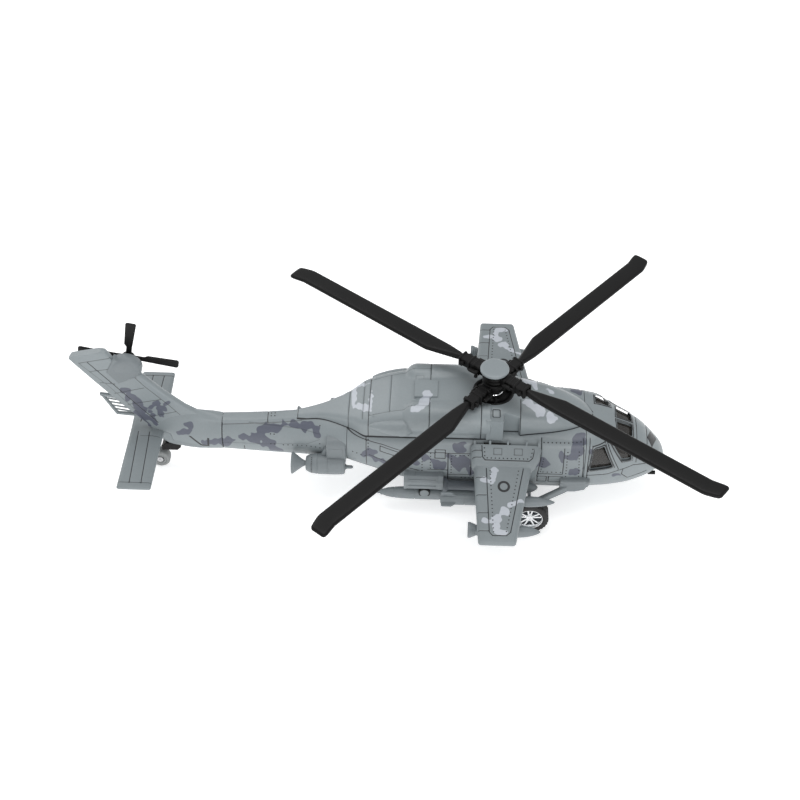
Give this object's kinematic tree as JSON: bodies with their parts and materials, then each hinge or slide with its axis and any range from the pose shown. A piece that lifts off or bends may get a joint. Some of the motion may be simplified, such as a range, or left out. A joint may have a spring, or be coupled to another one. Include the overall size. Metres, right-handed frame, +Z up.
{
  "type": "toy helicopter",
  "caption": "Toy attack helicopter with folding main rotor, tail rotor, stub wings with stores, pull-back wheels and a sound button.",
  "frame": {"origin": "on the ground below the middle of the whole model's box", "axes": "+X to the nose, +Y to port, +Z up"},
  "size_m": [0.3056, 0.201, 0.0892],
  "materials": {
    "body": "satin",
    "body_dark": "satin",
    "wings": "satin",
    "stores": "satin",
    "rotor": "satin",
    "cap": "satin",
    "glazing": "smoky",
    "interior": "moulded",
    "steel": "turned",
    "tyre": "moulded",
    "rim": "vacuum plated",
    "tail_wheel": "moulded",
    "gear": "natural acetal",
    "motor": "moulded",
    "belly": "moulded",
    "board": "solder mask",
    "contacts": "stamped",
    "led": "clear epoxy",
    "speaker": "moulded"
  },
  "bodies": {
    "airframe": {"cabin_shell": "body", "cockpit_shell": "body", "cockpit_glazing": "glazing", "cockpit_interior": "interior", "upper_cowling": "body", "tail_boom": "body", "tail_fin": "body", "tail_keel": "body_dark", "belly_plate": "belly", "battery_cover": "belly", "stabiliser": "wings", "stub_wing_starboard": "wings", "stub_wing_port": "wings", "missiles": "stores", "rocket_pods": "stores", "boom_pod_starboard": "stores", "boom_pod_port": "stores", "side_rack_starboard": "stores", "side_rack_port": "stores", "torpedoes": "stores", "gear_leg_starboard": "stores", "gear_leg_port": "stores", "chin_lights": "rotor", "swashplate": "rotor", "tail_gearbox": "body", "tail_rotor_axle": "steel", "mainspring": "steel", "motor_housing": "motor", "motor_cover": "motor", "tail_wheel_pin": "steel", "tail_bracket": "rotor", "circuit_board": "board", "button_cells": "steel", "battery_contacts": "contacts", "speaker": "speaker", "cockpit_led": "led", "body_screws": "steel"},
    "rotor": {"rotor_mast": "steel", "mast_collar": "steel", "hub_lower": "rotor", "blade_front_port": "rotor", "blade_rear_starboard": "rotor", "pins_lower": "rotor", "rotor_cap": "cap"},
    "upper_pair": {"hub_upper": "rotor", "blade_rear_port": "rotor", "blade_front_starboard": "rotor", "pins_upper": "rotor"},
    "tail_rotor": {"tail_rotor": "rotor"},
    "main_wheels": {"main_axle": "steel", "tyre_starboard": "tyre", "tyre_port": "tyre", "rim_starboard": "rim", "rim_port": "rim", "axle_gear": "gear"},
    "reduction": {"reduction_gear": "gear"},
    "winding": {"winding_gear": "gear"},
    "tail_wheel": {"tail_wheel": "tail_wheel"},
    "button": {"push_button": "body"}
  },
  "joints": [
    {"name": "rotor_spin", "type": "hinge", "parent": "airframe", "child": "rotor", "pos_m": [0.04904, 0, 0.0614], "axis": [0, 0, 1], "continuous": true},
    {"name": "blade_fold", "type": "hinge", "parent": "rotor", "child": "upper_pair", "pos_m": [0.04904, 0, 0.067], "axis": [0, 0, 1], "range_deg": [-85, 80]},
    {"name": "tail_rotor_spin", "type": "hinge", "parent": "airframe", "child": "tail_rotor", "pos_m": [-0.12596, 0, 0.0643], "axis": [0, 0.9945, 0.1045], "continuous": true},
    {"name": "wheel_spin", "type": "hinge", "parent": "airframe", "child": "main_wheels", "pos_m": [0.06834, 0, 0.009], "axis": [0, 1, 0], "continuous": true},
    {"name": "reduction_spin", "type": "hinge", "parent": "airframe", "child": "reduction", "pos_m": [0.06203, 0, 0.01469], "axis": [0, 1, 0], "continuous": true},
    {"name": "winding_spin", "type": "hinge", "parent": "airframe", "child": "winding", "pos_m": [0.05629, 0, 0.02288], "axis": [0, 1, 0], "continuous": true},
    {"name": "tail_wheel_spin", "type": "hinge", "parent": "airframe", "child": "tail_wheel", "pos_m": [-0.11546, 0, 0.005], "axis": [0, 1, 0], "continuous": true},
    {"name": "button_press", "type": "slide", "parent": "airframe", "child": "button", "axis": [0, 0, -1], "range_m": [0, 0.0012], "stiffness_N_per_m": 300, "springref_m": -0.0005}
  ],
  "couplings": [
    {"joint": "reduction_spin", "follows": "wheel_spin", "ratio": -0.41667},
    {"joint": "winding_spin", "follows": "wheel_spin", "ratio": 0.13889}
  ]
}
